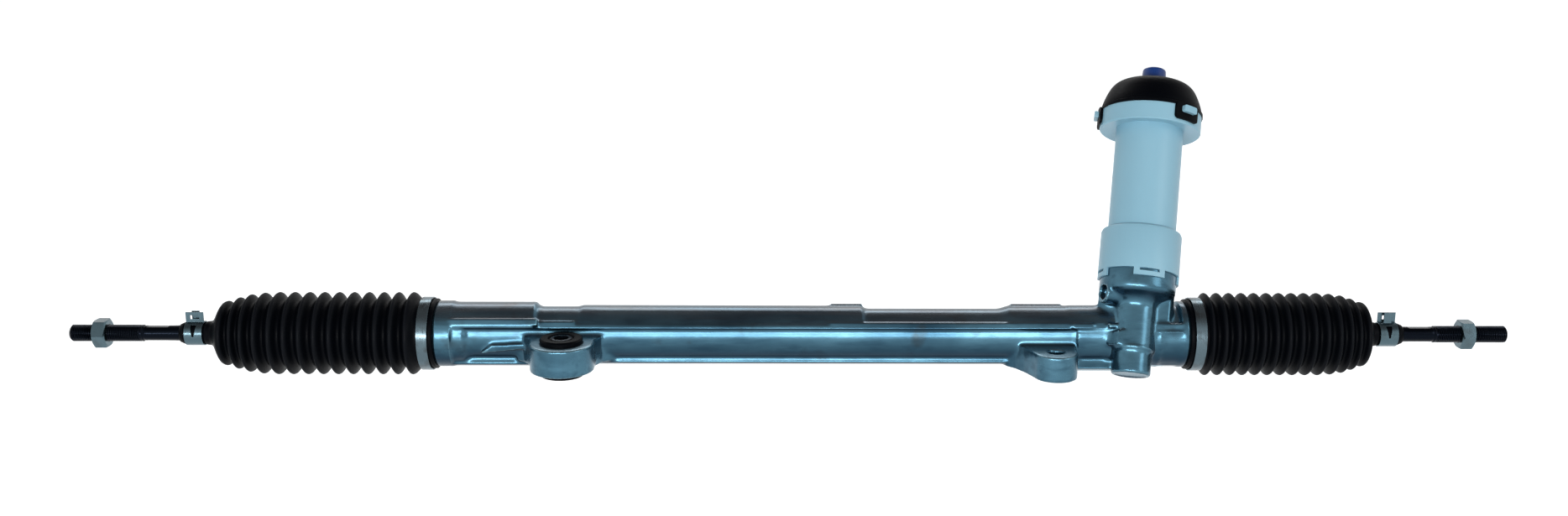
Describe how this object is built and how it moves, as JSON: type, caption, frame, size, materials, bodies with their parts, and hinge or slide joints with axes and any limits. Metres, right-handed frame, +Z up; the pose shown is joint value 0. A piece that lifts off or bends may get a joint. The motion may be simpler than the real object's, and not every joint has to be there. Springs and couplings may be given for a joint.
{
  "type": "steering rack",
  "caption": "Manual rack-and-pinion steering gear: cast aluminium housing, angled pinion tower with dust tube, corrugated boots and threaded tie rods.",
  "frame": {"origin": "midpoint between the two mounting bolt holes, on the plane the mounting feet sit on", "axes": "+X along the rack toward the pinion end, +Z up along the mounting bolts, +Y toward the rack from the bolt line"},
  "size_m": [1.19, 0.1699, 0.2511],
  "materials": {
    "cast_aluminium": "satin die-cast",
    "black_rubber": "matt moulded rubber",
    "zinc_steel": "bright zinc plated",
    "black_steel": "black coated steel",
    "ground_steel": "ground and oiled",
    "bearing_steel": "polished bearing steel",
    "white_plastic": "moulded, satin",
    "blue_plastic": "moulded, soft gloss",
    "natural_plastic": "moulded bearing plastic",
    "yoke_alloy": "turned"
  },
  "bodies": {
    "housing": {"rack_housing": "cast_aluminium", "mount_bush": "black_rubber", "mount_sleeve": "zinc_steel", "rack_bush": "natural_plastic", "needle_bearing": "bearing_steel", "bearing_outer_race": "bearing_steel", "bearing_retainer": "black_steel", "shaft_seal": "black_rubber", "dust_tube": "white_plastic", "dust_seal": "black_rubber", "support_yoke": "yoke_alloy", "yoke_liner": "natural_plastic", "yoke_spring": "ground_steel", "yoke_plug": "zinc_steel", "yoke_lock_nut": "zinc_steel", "left_boot": "black_rubber", "right_boot": "black_rubber", "left_boot_band": "zinc_steel", "right_boot_band": "zinc_steel"},
    "rack": {"rack_bar": "ground_steel", "left_ball_socket": "ground_steel", "right_ball_socket": "ground_steel", "left_ball_seat": "natural_plastic", "right_ball_seat": "natural_plastic"},
    "pinion": {"pinion_shaft": "ground_steel", "bearing_inner_race": "bearing_steel", "spline_cap": "blue_plastic"},
    "bearing_cage": {"bearing_cage": "natural_plastic", "bearing_balls": "bearing_steel"},
    "left_tie_rod": {"left_tie_rod": "black_steel", "left_rod_lock_nut": "zinc_steel", "left_boot_clip": "zinc_steel"},
    "right_tie_rod": {"right_tie_rod": "black_steel", "right_rod_lock_nut": "zinc_steel", "right_boot_clip": "zinc_steel"}
  },
  "joints": [
    {"name": "rack_slide", "type": "slide", "parent": "housing", "child": "rack", "axis": [1, 0, 0], "range_m": [-0.0475, 0.0845], "deforming": ["left_boot", "right_boot"]},
    {"name": "pinion_turn", "type": "hinge", "parent": "housing", "child": "pinion", "pos_m": [0.26665, 0.02307, 0.03239], "axis": [0.1236, 0.435, 0.8919], "range_deg": [-563, 317]},
    {"name": "cage_turn", "type": "hinge", "parent": "housing", "child": "bearing_cage", "pos_m": [0.26665, 0.02307, 0.03239], "axis": [0.1236, 0.435, 0.8919], "range_deg": [-216, 122]},
    {"name": "left_tie_rod_swing", "type": "hinge", "parent": "rack", "child": "left_tie_rod", "pos_m": [-0.3912, 0.03925, 0.0245], "axis": [0, 1, 0], "range_deg": [-15, 15]},
    {"name": "right_tie_rod_swing", "type": "hinge", "parent": "rack", "child": "right_tie_rod", "pos_m": [0.3588, 0.03925, 0.0245], "axis": [0, 1, 0], "range_deg": [-15, 15]}
  ],
  "couplings": [
    {"joint": "pinion_turn", "follows": "rack_slide", "rad_per_m": -116.04},
    {"joint": "cage_turn", "follows": "rack_slide", "rad_per_m": -44.28}
  ]
}
